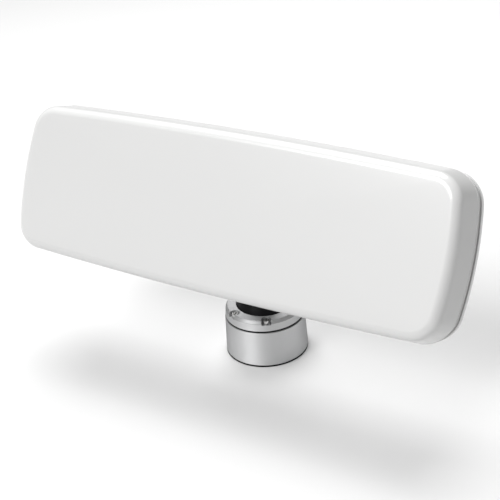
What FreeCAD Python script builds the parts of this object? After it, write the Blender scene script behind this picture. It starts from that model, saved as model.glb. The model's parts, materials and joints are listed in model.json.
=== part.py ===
"""Instrument pod on a swivelling, tilting ball base, as a parametric document.

The row frame: origin at the centre of the deck gasket's underside, +Z up, the pod's blank face towards -Y
and its long side along X.  The pod's own frame lies in the seam between its two covers, with its +Z out of
the face.  Lengths are in millimetres and angles in degrees.
"""
import FreeCAD, Part
import math
import os
import re
import Sketcher
from FreeCAD import Placement, Rotation, Vector

SIZES = [
    # base
    ("base_low_r", 55.0, "housing, outer radius at the deck"),
    ("base_top_r", 53.2, "housing, outer radius at the seam"),
    ("base_top_z", 51.1, "housing, height of its top face"),
    ("deck_gasket_t", 2.2, "deck gasket, thickness"),
    ("floor_t", 6.0, "housing floor, thickness"),
    ("cable_hole_r", 16.0, "cable hole through floor and gasket"),
    ("cavity_r", 47.0, "housing, radius of the hollow"),
    ("cavity_top_z", 33.4, "height where the hollow starts to close in"),
    ("ledge_r", 39.2, "ledge under the swivel race, inner radius"),
    ("ledge_low_z", 40.4, "ledge, lower edge"),
    ("ledge_top_z", 45.5, "ledge, upper face"),
    ("race_bore_r", 42.2, "bore that the swivel race turns in"),
    ("deck_bolt_r", 3.2, "deck bolt holes, radius"),
    ("deck_bolt_pitch_r", 35.0, "deck bolt holes, pitch circle radius"),
    ("deck_bolt_angle", 45.0, "first deck bolt hole, angle from +X"),
    # clamp ring
    ("ring_gasket_t", 2.2, "gasket between housing and clamp ring"),
    ("ring_gasket_r", 52.1, "ring gasket, outer radius"),
    ("ring_low_r", 52.6, "clamp ring, outer radius at its foot"),
    ("ring_edge_r", 51.8, "clamp ring, outer radius under the chamfer"),
    ("ring_edge_z", 63.6, "clamp ring, height of the chamfer's lower edge"),
    ("ring_top_r", 49.6, "clamp ring, radius of the flat top"),
    ("ring_top_z", 68.0, "clamp ring, height of the flat top"),
    ("ring_hole_r", 37.1, "clamp ring, radius of the hole's rim"),
    ("lip_low_r", 38.8, "clamp ring, radius at the lip's lower edge"),
    ("lip_low_z", 60.6, "clamp ring, underside of the lip"),
    ("pocket_r", 6.3, "screw pocket, half width"),
    ("pocket_pitch_r", 45.5, "screw pocket, radius of its round end's centre"),
    ("pocket_floor_z", 62.0, "screw pocket, floor"),
    ("clamp_screw_count", 6, "clamp screws"),
    ("clamp_screw_angle", -56, "first clamp screw, angle from +X"),
    ("clamp_screw_pitch_r", 45.8, "clamp screws, pitch circle radius"),
    ("clamp_screw_end_z", 42.0, "clamp screws, lower end"),
    ("clamp_tap_end_z", 40.4, "tapped holes in the housing, lower end"),
    # fasteners
    ("bolt_r", 2.45, "screw shank, radius"),
    ("bolt_clear_r", 2.75, "clearance hole for it"),
    ("bolt_tap_r", 2.5, "tapped hole for it"),
    ("bolt_head_r", 4.25, "socket head, radius"),
    ("bolt_head_t", 5.0, "socket head, height"),
    ("bolt_hex", 4.0, "hexagon socket, across flats"),
    ("bolt_hex_depth", 2.6, "hexagon socket, depth"),
    # swivel race
    ("seal_t", 1.1, "wiper seal, thickness"),
    ("seal_hole_r", 38.7, "wiper seal, inner radius"),
    ("race_hole_r", 38.9, "swivel race, inner radius at the ball's middle"),
    ("race_out_r", 41.9, "swivel race, outer radius"),
    ("race_low_z", 46.7, "swivel race, underside"),
    ("race_top_z", 59.1, "swivel race, upper face"),
    ("stop_slot_r", 39.8, "stop slot around the race's foot, radius of its wall"),
    ("stop_slot_t", 2.6, "stop slot, height"),
    ("stop_lug_angle", 12.0, "uncut lug between the slot's ends"),
    ("stop_pin_r", 0.95, "stop pin, radius"),
    ("stop_pin_pitch_r", 41.0, "stop pin, distance from the axis"),
    ("stop_pin_low_z", 41.4, "stop pin, lower end"),
    ("stop_pin_top_z", 48.9, "stop pin, upper end"),
    ("trunnion_r", 2.5, "trunnion pins, radius"),
    ("trunnion_clearance", 0.05, "running clearance of the pins in the ball"),
    ("trunnion_in_x", 33.4, "trunnion pins, inner end"),
    ("trunnion_out_x", 41.6, "trunnion pins, outer end"),
    # ball
    ("ball_r", 38.5, "ball, radius"),
    ("ball_wall", 6.0, "ball, wall thickness"),
    ("ball_z", 55.4, "height of the ball's centre"),
    ("ball_low", 22.0, "ball is open this far below its centre"),
    ("ball_flat", 34.0, "ball's flat top, above its centre"),
    ("ball_seat", 27.0, "flat inside the ball's top, above its centre"),
    # neck
    ("neck_r", 16.5, "neck arm, outer radius"),
    ("neck_bore_r", 10.0, "neck arm, cable bore"),
    ("neck_bend_r", 34.0, "neck arm, radius of its bend"),
    ("neck_foot_r", 17.6, "neck arm's foot, radius"),
    ("neck_foot_t", 5.0, "neck arm's foot, thickness"),
    ("spigot_r", 12.9, "neck arm's threaded spigot, radius"),
    ("spigot_len", 17.0, "neck arm's threaded spigot, length"),
    ("neck_seal_t", 1.0, "seal under the neck's foot"),
    ("nut_flats", 31.0, "lock nut, across flats"),
    ("nut_t", 6.5, "lock nut, thickness"),
    ("flange_r", 31.0, "pod flange, radius"),
    ("flange_t", 7.0, "pod flange, thickness"),
    ("flange_gasket_t", 1.5, "flange gasket, thickness"),
    ("flange_pitch_r", 23.0, "flange screws, pitch circle radius"),
    ("flange_screw_len", 14.0, "flange screws, length under the head"),
    # pod
    ("pod_y", -53.5, "seam plane's centre, Y"),
    ("pod_z", 222.0, "seam plane's centre, Z"),
    ("pod_tilt", 26.7, "the face looks up by this much"),
    ("pod_width", 621.0, "pod, width at the seam"),
    ("pod_height", 208.0, "pod, height at the seam"),
    ("corner_r", 41.0, "corner radius at the seam"),
    ("long_bow", 6.1, "outward bow of the long edges"),
    ("short_bow", 11.4, "outward bow of the short edges"),
    ("wall", 3.0, "cover wall"),
    ("seam_gap", 1.2, "space between the covers' rims"),
    ("seal_inset", 1.0, "pod seal, distance behind the outline"),
    ("seal_width", 5.0, "pod seal, width"),
    ("front_depth", 46.5, "front cover, depth from the seam plane"),
    ("front_inset", 6.6, "front cover, draft over its depth"),
    ("front_round", 12.0, "front cover, edge rounding"),
    ("rear_depth", 28.0, "rear cover, depth from the seam plane"),
    ("rear_inset", 2.0, "rear cover, draft over its depth"),
    ("rear_round", 9.0, "rear cover, edge rounding"),
    ("grommet_hole_r", 12.0, "cable hole in rear cover and backing plate"),
    ("grommet_bore_r", 8.0, "cable grommet, bore"),
    ("grommet_lip_r", 15.0, "cable grommet, lip radius"),
    ("grommet_lip_t", 1.5, "cable grommet, lip thickness"),
    ("plate_width", 104.0, "backing plate, width"),
    ("plate_height", 78.0, "backing plate, height"),
    ("plate_t", 3.0, "backing plate, thickness"),
    ("plate_corner_r", 10.0, "backing plate, corner radius"),
    # cover screws
    ("boss_r", 6.5, "screw bosses, radius"),
    ("boss_corner_x", 274.0, "corner bosses, X"),
    ("boss_corner_y", 72.0, "corner bosses, Y"),
    ("boss_mid_x", 100.0, "middle bosses, X"),
    ("boss_mid_y", 85.0, "middle bosses, Y"),
    ("sink_r", 4.6, "recess for the cover screw's head, radius"),
    ("sink_depth", 8.0, "recess for the cover screw's head, depth"),
    ("cover_screw_r", 1.95, "cover screws, shank radius"),
    ("cover_screw_clear_r", 2.25, "cover screws, clearance hole"),
    ("cover_head_r", 3.9, "cover screws, head radius"),
    ("cover_head_t", 3.2, "cover screws, head height"),
    ("cover_hex", 2.5, "cover screws, hexagon socket across flats"),
    ("cover_hex_depth", 1.6, "cover screws, socket depth"),
    ("cover_screw_len", 32.0, "cover screws, length under the head"),
    ("insert_r", 3.2, "brass inserts, outer radius"),
    ("insert_bore_r", 2.0, "brass inserts, bore"),
    ("insert_len", 12.0, "brass inserts, length"),
]
ALIASES = {alias for alias, value, note in SIZES}
WORD = re.compile(r"[a-z_]+")
EAST = Vector(1, 0, 0)
UP = Vector(0, 0, 1)

doc = FreeCAD.newDocument("instrument_pod")
sheet = doc.addObject("Spreadsheet::Sheet", "sizes")


def fill_sheet():
    for row, (alias, value, note) in enumerate(SIZES, start=1):
        sheet.set(f"A{row}", note)
        sheet.set(f"B{row}", str(value))
        sheet.setAlias(f"B{row}", alias)
    doc.recompute()


def size(alias):
    return float(sheet.get(alias))


def bind(item, prop, formula):
    """Tie a property to a formula whose words are the sheet's cells."""
    def cell(match):
        word = match.group(0)
        return "sizes." + word if word in ALIASES else word
    item.setExpression(prop, WORD.sub(cell, formula))


def place(item, x="0", y="0", z="0"):
    for axis, formula in zip("xyz", (x, y, z)):
        bind(item, ".Placement.Base." + axis, formula)


# ---------------------------------------------------------------- PartDesign helpers

def new_body(label):
    body = doc.addObject("PartDesign::Body", label)
    body.Label = label
    return body


def new_sketch(body, name, plane, height=None):
    """A sketch on one of the body's origin planes, lifted to a height if one is given."""
    sketch = body.newObject("Sketcher::SketchObject", name)
    face = next(item for item in body.Origin.OriginFeatures if item.Role == plane)
    sketch.AttachmentSupport = [(face, "")]
    sketch.MapMode = "FlatFace"
    if height:
        bind(sketch, ".AttachmentOffset.Base.z", height)
    return sketch


def pin_point(sketch, geometry, point, x, y):
    """Hold a point of a sketch at formulas for its two coordinates."""
    for kind, formula in (("DistanceX", x), ("DistanceY", y)):
        index = sketch.addConstraint(Sketcher.Constraint(kind, -1, 1, geometry, point, 1.0))
        bind(sketch, f"Constraints[{index}]", formula)


def revolved(label, corners, height="0"):
    """A ring whose section is the polygon of (radius, height) corners, turned about Z."""
    body = new_body(label)
    sketch = new_sketch(body, label + "_section", "XZ_Plane")
    count = len(corners)
    for step in range(count):
        start, end = (Vector(50 + 9 * math.cos(2 * math.pi * (step + k) / count),
                             9 * math.sin(2 * math.pi * (step + k) / count), 0) for k in (0, 1))
        sketch.addGeometry(Part.LineSegment(start, end), False)
    for step in range(count):
        sketch.addConstraint(Sketcher.Constraint("Coincident", step, 2, (step + 1) % count, 1))
    for step, (radius, z) in enumerate(corners):
        pin_point(sketch, step, 1, radius, f"({z}) + ({height})")
    turn = body.newObject("PartDesign::Revolution", label + "_turned")
    turn.Profile = sketch
    turn.ReferenceAxis = (sketch, ["V_Axis"])
    turn.Angle = 360
    body.Tip = turn
    doc.recompute()
    return body


def round_cuts(body, name, radius, pitch_r, count, angle, top, depth, to_edge=False):
    """Round holes on a pitch circle, sunk from a height; to_edge opens them outwards as a U."""
    before = body.Shape.Volume
    sketch = new_sketch(body, name + "_outline", "XY_Plane", top)
    turn = math.radians(size(angle) if angle in ALIASES else float(angle))
    out = Vector(math.cos(turn), math.sin(turn), 0)
    side = Vector(-math.sin(turn), math.cos(turn), 0)
    centre = out * size(pitch_r)
    if to_edge:
        half, far = side * size(radius), out * size("base_low_r")
        points = [centre - half, far - half, far + half, centre + half]
        for start, end in zip(points, points[1:]):
            sketch.addGeometry(Part.LineSegment(start, end), False)
        inner = centre - out * size(radius)
        sketch.addGeometry(Part.Arc(points[3], inner, points[0]), False)
    else:
        sketch.addGeometry(Part.Circle(centre, UP, size(radius)), False)
        index = sketch.addConstraint(Sketcher.Constraint("Radius", 0, size(radius)))
        bind(sketch, f"Constraints[{index}]", radius)
        pin_point(sketch, 0, 3, f"{pitch_r} * cos({angle})", f"{pitch_r} * sin({angle})")
    cut = body.newObject("PartDesign::Pocket", name)
    cut.Profile = sketch
    bind(cut, "Length", depth)
    pattern = body.newObject("PartDesign::PolarPattern", name + "_pattern")
    pattern.Originals = [cut]
    pattern.Axis = (sketch, ["N_Axis"])
    pattern.Angle = 360
    pattern.Occurrences = count
    body.Tip = pattern
    doc.recompute()
    if body.Shape.Volume >= before:
        raise RuntimeError(f"{name} cuts nothing")
    return pattern


# ---------------------------------------------------------------- Part helpers

def cylinder(name, radius, length, **at):
    item = doc.addObject("Part::Cylinder", name)
    bind(item, "Radius", radius)
    bind(item, "Height", length)
    place(item, **at)
    return item


def sphere(name, radius, **at):
    item = doc.addObject("Part::Sphere", name)
    bind(item, "Radius", radius)
    place(item, **at)
    return item


def combined(kind, label, base, tool):
    """A boolean of two objects: kind is Cut, Fuse or Common."""
    item = doc.addObject("Part::" + kind, label)
    item.Base = base
    item.Tool = tool
    item.Label = label
    return item


def feature(label, shape, placement=Placement()):
    item = doc.addObject("Part::Feature", label)
    item.Label = label
    item.Shape = shape
    item.Placement = placement
    return item


def hex_prism(flats, height):
    """A hexagonal prism standing on the XY plane, centred on the axis."""
    corner_r = flats / math.sqrt(3)
    corners = [Vector(corner_r * math.cos(math.radians(60 * k)), corner_r * math.sin(math.radians(60 * k)), 0)
               for k in range(7)]
    return Part.Face(Part.makePolygon(corners)).extrude(UP * height)


def socket_screw(head_r, head_t, shank_r, length, flats, socket_depth):
    """A socket head screw along Z: the head's seat at the origin, the shank going down."""
    head = Part.makeCylinder(head_r, head_t)
    edge = [e for e in head.Edges if e.BoundBox.ZMin > head_t / 2]
    head = head.makeFillet(head_t / 10, edge)
    shank = Part.makeCylinder(shank_r, length, Vector(0, 0, -length))
    socket = hex_prism(flats, socket_depth)
    socket.translate(UP * (head_t - socket_depth))
    return head.fuse(shank).cut(socket).removeSplitter()


def m5_screw(length):
    return socket_screw(size("bolt_head_r"), size("bolt_head_t"), size("bolt_r"), length,
                        size("bolt_hex"), size("bolt_hex_depth"))


def copies(shape, places):
    """Separate copies of one solid, as one compound."""
    solids = []
    for spot in places:
        solid = shape.copy()
        solid.translate(spot)
        solids.append(solid)
    return Part.makeCompound(solids)


def on_circle(radius, count, angle, z):
    """Points on a circle about the axis."""
    turns = [math.radians(angle + 360.0 * k / count) for k in range(count)]
    return [Vector(radius * math.cos(turn), radius * math.sin(turn), z) for turn in turns]


# ---------------------------------------------------------------- base

def deck_gasket():
    body = revolved("deck_gasket", [("cable_hole_r", "0"), ("base_low_r", "0"),
                                    ("base_low_r", "deck_gasket_t"), ("cable_hole_r", "deck_gasket_t")])
    round_cuts(body, "gasket_bolt_holes", "deck_bolt_r", "deck_bolt_pitch_r", 4, "deck_bolt_angle",
               "deck_gasket_t", "deck_gasket_t")
    return body


def base_housing():
    """A drafted cup, open at the top, with a ledge inside that carries the swivel race."""
    body = revolved("base_housing", [
        ("cable_hole_r", "deck_gasket_t"), ("base_low_r", "deck_gasket_t"), ("base_top_r", "base_top_z"),
        ("race_bore_r", "base_top_z"), ("race_bore_r", "ledge_top_z"), ("ledge_r", "ledge_top_z"),
        ("ledge_r", "ledge_low_z"), ("cavity_r", "cavity_top_z"), ("cavity_r", "deck_gasket_t + floor_t"),
        ("cable_hole_r", "deck_gasket_t + floor_t")])
    round_cuts(body, "deck_bolt_holes", "deck_bolt_r", "deck_bolt_pitch_r", 4, "deck_bolt_angle",
               "deck_gasket_t + floor_t", "floor_t")
    round_cuts(body, "clamp_tapped_holes", "bolt_tap_r", "clamp_screw_pitch_r", 6, "clamp_screw_angle",
               "base_top_z", "base_top_z - clamp_tap_end_z")
    round_cuts(body, "stop_pin_hole", "stop_pin_r", "stop_pin_pitch_r", 1, "90",
               "ledge_top_z", "ledge_top_z - stop_pin_low_z")
    return body


def ring_gasket():
    body = revolved("ring_gasket", [("race_bore_r", "0"), ("ring_gasket_r", "0"),
                                    ("ring_gasket_r", "ring_gasket_t"), ("race_bore_r", "ring_gasket_t")],
                    height="base_top_z")
    round_cuts(body, "ring_gasket_holes", "bolt_clear_r", "clamp_screw_pitch_r", 6, "clamp_screw_angle",
               "base_top_z + ring_gasket_t", "ring_gasket_t")
    return body


def clamp_ring():
    """The ring that holds ball and race down; its chamfered rim is cut by U-shaped screw pockets."""
    foot = "base_top_z + ring_gasket_t"
    body = revolved("clamp_ring", [
        ("race_bore_r", foot), ("ring_low_r", foot), ("ring_edge_r", "ring_edge_z"),
        ("ring_top_r", "ring_top_z"), ("ring_hole_r", "ring_top_z"), ("lip_low_r", "lip_low_z"),
        ("race_bore_r", "lip_low_z")])
    round_cuts(body, "screw_pockets", "pocket_r", "pocket_pitch_r", 6, "clamp_screw_angle",
               "ring_top_z", "ring_top_z - pocket_floor_z", to_edge=True)
    round_cuts(body, "clamp_screw_holes", "bolt_clear_r", "clamp_screw_pitch_r", 6, "clamp_screw_angle",
               "pocket_floor_z", "pocket_floor_z - base_top_z - ring_gasket_t")
    return body


def clamp_screws():
    screw = m5_screw(size("pocket_floor_z") - size("clamp_screw_end_z"))
    spots = on_circle(size("clamp_screw_pitch_r"), int(size("clamp_screw_count")),
                      size("clamp_screw_angle"), size("pocket_floor_z"))
    return feature("clamp_screws", copies(screw, spots))


def wiper_seal():
    return revolved("wiper_seal", [("seal_hole_r", "lip_low_z - seal_t"), ("race_bore_r", "lip_low_z - seal_t"),
                                   ("race_bore_r", "lip_low_z"), ("seal_hole_r", "lip_low_z")])


def thrust_washer():
    body = revolved("thrust_washer", [("ledge_r", "ledge_top_z"), ("race_bore_r", "ledge_top_z"),
                                      ("race_bore_r", "race_low_z"), ("ledge_r", "race_low_z")])
    round_cuts(body, "washer_pin_hole", "stop_pin_r", "stop_pin_pitch_r", 1, "90",
               "race_low_z", "race_low_z - ledge_top_z")
    return body


def stop_pin():
    return cylinder("swivel_stop_pin", "stop_pin_r", "stop_pin_top_z - stop_pin_low_z",
                    y="stop_pin_pitch_r", z="stop_pin_low_z")


# ---------------------------------------------------------------- swivel

def swivel_race():
    """A ring with a spherical inside, trunnion holes, and a stop slot cut all round but for one lug."""
    blank = cylinder("race_blank", "race_out_r", "race_top_z - race_low_z", z="race_low_z")
    hollow = sphere("race_hollow", "race_hole_r", z="ball_z")
    slot_out = cylinder("slot_outside", "race_out_r + 1", "stop_slot_t", z="race_low_z")
    bind(slot_out, "Angle", "360 - stop_lug_angle")
    slot_out.Placement.Rotation = Rotation(UP, -90 + size("stop_lug_angle") / 2)
    slot_in = cylinder("slot_inside", "stop_slot_r", "stop_slot_t", z="race_low_z")
    slot = combined("Cut", "stop_slot", slot_out, slot_in)
    ring = combined("Cut", "race_ring", combined("Cut", "race_bored", blank, hollow), slot)
    return combined("Cut", "swivel_race", ring, pin_bar("race_pin_holes", "trunnion_r"))


def pin_bar(name, radius):
    """A bar along X through the ball's centre, for the trunnion holes."""
    bar = cylinder(name, radius, "2 * base_low_r", x="-base_low_r", z="ball_z")
    bar.Placement.Rotation = Rotation(Vector(0, 1, 0), 90)
    return bar


def trunnion_pins():
    length = size("trunnion_out_x") - size("trunnion_in_x")
    centre = Vector(0, 0, size("ball_z"))
    pins = [Part.makeCylinder(size("trunnion_r"), length, centre + EAST * side * size("trunnion_in_x"),
                              EAST * side) for side in (-1, 1)]
    return feature("trunnion_pins", Part.makeCompound(pins))


# ---------------------------------------------------------------- ball and neck

def ball():
    """A hollow ball, open below, flat on top and thick there for the neck's lock nut."""
    outside = sphere("ball_outside", "ball_r", z="ball_z")
    keep = cylinder("ball_height", "ball_r", "ball_low + ball_flat", z="ball_z - ball_low")
    hollow = combined("Common", "ball_hollow", sphere("ball_inside", "ball_r - ball_wall", z="ball_z"),
                      cylinder("ball_room", "ball_r", "2 * ball_r", z="ball_z + ball_seat - 2 * ball_r"))
    bore = cylinder("ball_bore", "spigot_r", "ball_r", z="ball_z")
    shell = combined("Cut", "ball_shell", combined("Common", "ball_body", outside, keep), hollow)
    bored = combined("Cut", "ball_bored", shell, bore)
    return combined("Cut", "ball", bored, pin_bar("ball_pin_holes", "trunnion_r + trunnion_clearance"))


def neck_seal():
    return revolved("neck_seal", [("spigot_r", "0"), ("neck_foot_r", "0"), ("neck_foot_r", "neck_seal_t"),
                                  ("spigot_r", "neck_seal_t")], height="ball_z + ball_flat")


def lock_nut():
    nut = hex_prism(size("nut_flats"), size("nut_t")).cut(Part.makeCylinder(size("spigot_r"), size("nut_t")))
    top = size("ball_z") + size("ball_seat")
    return feature("neck_lock_nut", nut, Placement(Vector(0, 0, top - size("nut_t")), Rotation()))


def pod_frame():
    """The pod's own frame: origin in the seam plane, X to the side, Y up the face, Z out of it."""
    return Placement(Vector(0, size("pod_y"), size("pod_z")), Rotation(EAST, 90 - size("pod_tilt")))


def neck_path(start_z, end_depth):
    """Straight up from start_z, round the bend, and square to the rear cover at a depth behind the seam."""
    frame = pod_frame()
    face_out = frame.Rotation.multVec(UP)
    end = frame.multVec(Vector(0, 0, -end_depth))
    corner = end - face_out * (end.y / face_out.y)
    tangent = size("neck_bend_r") * math.tan(math.acos(face_out.z) / 2)
    bend_start = corner - UP * tangent
    bend_end = corner + face_out * tangent
    middle_way = (UP * -1 + face_out).normalize()
    centre = corner + middle_way * math.hypot(tangent, size("neck_bend_r"))
    middle = centre - middle_way * size("neck_bend_r")
    edges = [Part.LineSegment(Vector(0, 0, start_z), bend_start), Part.Arc(bend_start, middle, bend_end),
             Part.LineSegment(bend_end, end)]
    return Part.Wire([edge.toShape() for edge in edges])


def round_bar(path, radius):
    """A round bar along a path that starts straight up the Z axis."""
    start = path.Vertexes[0].Point
    section = Part.Wire(Part.makeCircle(radius, start, UP))
    return path.makePipeShell([section], True, False)


def neck_arm():
    foot_z = size("ball_z") + size("ball_flat") + size("neck_seal_t")
    flange_back = size("rear_depth") + size("flange_gasket_t") + size("flange_t")
    flange = Part.makeCylinder(size("flange_r"), size("flange_t"))
    holes = copies(Part.makeCylinder(size("bolt_tap_r"), size("flange_t")),
                   on_circle(size("flange_pitch_r"), 4, 45, 0))
    flange = flange.cut(holes)
    flange.Placement = pod_frame().multiply(Placement(Vector(0, 0, -flange_back), Rotation()))
    bar = round_bar(neck_path(foot_z, flange_back - size("flange_t") / 2), size("neck_r"))
    foot = Part.makeCylinder(size("neck_foot_r"), size("neck_foot_t"), Vector(0, 0, foot_z))
    spigot = Part.makeCylinder(size("spigot_r"), size("spigot_len"), Vector(0, 0, foot_z - size("spigot_len")))
    bore = round_bar(neck_path(foot_z - size("spigot_len") - 1, size("rear_depth")), size("neck_bore_r"))
    return feature("neck_arm", bar.fuse([flange, foot, spigot]).cut(bore).removeSplitter())


def flange_gasket():
    low = "-rear_depth - flange_gasket_t"
    body = revolved("flange_gasket", [("neck_bore_r", "0"), ("flange_r", "0"), ("flange_r", "flange_gasket_t"),
                                      ("neck_bore_r", "flange_gasket_t")], height=low)
    round_cuts(body, "flange_gasket_holes", "bolt_clear_r", "flange_pitch_r", 4, "45",
               "-rear_depth", "flange_gasket_t")
    body.Placement = pod_frame()
    return body


# ---------------------------------------------------------------- pod covers

def outline(inset, z):
    """The pod's outline: four slightly bowed edges joined by round corners, inset by a distance."""
    half_w, half_h = size("pod_width") / 2, size("pod_height") / 2
    long_r = (half_w ** 2 + size("long_bow") ** 2) / (2 * size("long_bow"))
    short_r = (half_h ** 2 + size("short_bow") ** 2) / (2 * size("short_bow"))
    top_c, side_c = Vector(0, half_h - long_r, z), Vector(half_w - short_r, 0, z)
    to_top, to_side = long_r - size("corner_r"), short_r - size("corner_r")
    between = side_c - top_c
    gap = between.Length
    along = (gap ** 2 + to_top ** 2 - to_side ** 2) / (2 * gap)
    across = math.sqrt(to_top ** 2 - along ** 2)
    unit = between.normalize()
    corner_c = top_c + unit * along + Vector(unit.y, -unit.x, 0) * across
    corner_r = size("corner_r") - inset
    top_end = corner_c + (corner_c - top_c).normalize() * corner_r
    side_end = corner_c + (corner_c - side_c).normalize() * corner_r
    knee = corner_c + ((top_end + side_end) * 0.5 - corner_c).normalize() * corner_r

    def flip(point, x, y):
        return Vector(point.x * x, point.y * y, z)

    top, side = Vector(0, half_h - inset, z), Vector(half_w - inset, 0, z)
    arcs = [(flip(top_end, -1, 1), top, top_end), (top_end, knee, side_end),
            (side_end, side, flip(side_end, 1, -1)),
            (flip(side_end, 1, -1), flip(knee, 1, -1), flip(top_end, 1, -1)),
            (flip(top_end, 1, -1), flip(top, 1, -1), flip(top_end, -1, -1)),
            (flip(top_end, -1, -1), flip(knee, -1, -1), flip(side_end, -1, -1)),
            (flip(side_end, -1, -1), flip(side, -1, 1), flip(side_end, -1, 1)),
            (flip(side_end, -1, 1), flip(knee, -1, 1), flip(top_end, -1, 1))]
    return Part.Wire([Part.Arc(*points).toShape() for points in arcs])


def rounded_block(side, rim_inset, face_inset, face_z, rounding):
    """A drafted block from the rim's outline to the face's, with the face's edge rounded."""
    rim_z = size("seam_gap") / 2
    block = Part.makeLoft([outline(rim_inset, rim_z), outline(face_inset, face_z)], True, True)
    face_edges = [e for e in block.Edges if e.BoundBox.ZMin > (rim_z + face_z) / 2]
    block = block.makeFillet(rounding, face_edges)
    return block if side > 0 else block.mirror(Vector(), UP)


def boss_spots(z=0.0):
    corner = (size("boss_corner_x"), size("boss_corner_y"))
    middle = (size("boss_mid_x"), size("boss_mid_y"))
    return [Vector(x * sx, y * sy, z) for x, y in (corner, middle) for sx in (-1, 1) for sy in (-1, 1)]


def cylinders(radius, low, high):
    """One cylinder at each boss, between two heights in the pod's frame."""
    return copies(Part.makeCylinder(radius, high - low), boss_spots(low))


def cover(label, side, depth, inset, rounding, cuts):
    """One shell of the pod, towards side +1 (the face) or -1 (the rear), with its bosses."""
    wall = size("wall")
    outside = rounded_block(side, 0, inset, depth, rounding)
    inside = rounded_block(side, wall, inset + wall, depth - wall, rounding - wall)
    low, high = sorted((side * size("seam_gap") / 2, side * (depth - wall / 2)))
    bosses = cylinders(size("boss_r"), low, high).common(outside)
    shell = outside.cut(inside).fuse(bosses)
    for shape in cuts:
        shell = shell.cut(shape)
    return feature(label, shell.removeSplitter(), pod_frame())


def front_cover():
    rim = size("seam_gap") / 2
    pilots = cylinders(size("insert_r"), rim, rim + size("insert_len"))
    return cover("front_cover", 1, size("front_depth"), size("front_inset"), size("front_round"), [pilots])


def rear_cover():
    depth = size("rear_depth")
    sinks = cylinders(size("sink_r"), -depth, size("sink_depth") - depth)
    shanks = cylinders(size("cover_screw_clear_r"), -depth, 0)
    cable = Part.makeCylinder(size("grommet_hole_r"), 2 * size("wall"), Vector(0, 0, -depth - 1))
    bolts = copies(Part.makeCylinder(size("bolt_clear_r"), 2 * size("wall")),
                   on_circle(size("flange_pitch_r"), 4, 45, -depth - 1))
    return cover("rear_cover", -1, depth, size("rear_inset"), size("rear_round"),
                 [sinks, shanks, cable, bolts])


def pod_seal():
    """The flat seal between the two covers' rims, pierced by the cover screws."""
    half = size("seam_gap") / 2
    outer = Part.Face(outline(size("seal_inset"), -half))
    inner = Part.Face(outline(size("seal_inset") + size("seal_width"), -half))
    seal = outer.cut(inner).extrude(UP * size("seam_gap"))
    return feature("pod_seal", seal.removeSplitter(), pod_frame())


def backing_plate():
    """A plate inside the rear cover that spreads the neck flange's load."""
    low = size("wall") - size("rear_depth")
    width, height, thick = size("plate_width"), size("plate_height"), size("plate_t")
    plate = Part.makeBox(width, height, thick, Vector(-width / 2, -height / 2, low))
    upright = [e for e in plate.Edges if e.BoundBox.ZLength > thick / 2]
    plate = plate.makeFillet(size("plate_corner_r"), upright)
    cable = Part.makeCylinder(size("grommet_hole_r"), thick, Vector(0, 0, low))
    bolts = copies(Part.makeCylinder(size("bolt_clear_r"), thick),
                   on_circle(size("flange_pitch_r"), 4, 45, low))
    return feature("backing_plate", plate.cut(cable).cut(bolts), pod_frame())


def flange_screws():
    seat = size("wall") + size("plate_t") - size("rear_depth")
    spots = on_circle(size("flange_pitch_r"), 4, 45, seat)
    return feature("flange_screws", copies(m5_screw(size("flange_screw_len")), spots), pod_frame())


def cable_grommet():
    seat = "wall + plate_t - rear_depth"
    body = revolved("cable_grommet", [
        ("grommet_bore_r", "-rear_depth"), ("grommet_hole_r", "-rear_depth"), ("grommet_hole_r", seat),
        ("grommet_lip_r", seat), ("grommet_lip_r", seat + " + grommet_lip_t"),
        ("grommet_bore_r", seat + " + grommet_lip_t")])
    body.Placement = pod_frame()
    return body


def cover_screws():
    screw = socket_screw(size("cover_head_r"), size("cover_head_t"), size("cover_screw_r"),
                         size("cover_screw_len"), size("cover_hex"), size("cover_hex_depth"))
    screw.rotate(Vector(), EAST, 180)
    return feature("cover_screws", copies(screw, boss_spots(size("sink_depth") - size("rear_depth"))),
                   pod_frame())


def screw_inserts():
    length = size("insert_len")
    insert = Part.makeCylinder(size("insert_r"), length).cut(Part.makeCylinder(size("insert_bore_r"), length))
    return feature("screw_inserts", copies(insert, boss_spots(size("seam_gap") / 2)), pod_frame())


def check(nodes):
    """Stop if any object failed to rebuild or any sub-part is empty, broken or nameless."""
    failed = [item.Name for item in doc.Objects if {"Invalid", "Error"} & set(item.State)]
    if failed:
        raise RuntimeError(f"objects that failed to rebuild: {failed}")
    for node in nodes:
        if node.Shape.isNull() or not node.Shape.isValid():
            raise RuntimeError(f"{node.Label} has no sound shape")


def main():
    fill_sheet()
    nodes = [deck_gasket(), base_housing(), ring_gasket(), clamp_ring(), clamp_screws(), wiper_seal(),
             thrust_washer(), stop_pin(), swivel_race(), trunnion_pins(), ball(), neck_seal(), lock_nut(),
             neck_arm(), flange_gasket(), rear_cover(), backing_plate(), flange_screws(), cable_grommet(),
             pod_seal(), front_cover(), cover_screws(), screw_inserts()]
    doc.recompute()
    check(nodes)
    os.makedirs("parts", exist_ok=True)
    for node in nodes:
        node.Shape.exportStep(f"parts/{node.Label}.step")
        print(f"{node.Label}: {len(node.Shape.Solids)} solid(s), {node.Shape.Volume / 1000:.1f} cm3")


main()
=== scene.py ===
"""Looks of an instrument pod on its swivelling, tilting ball base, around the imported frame.

Lengths are in metres, in the row frame: origin under the deck pad, +Z up, the pod's face towards -Y.
"""
import json
import math

import bmesh
import bpy
import numpy as np
from bpy.props import FloatProperty, FloatVectorProperty, IntProperty, PointerProperty
from mathutils import Matrix, Quaternion, Vector


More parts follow.
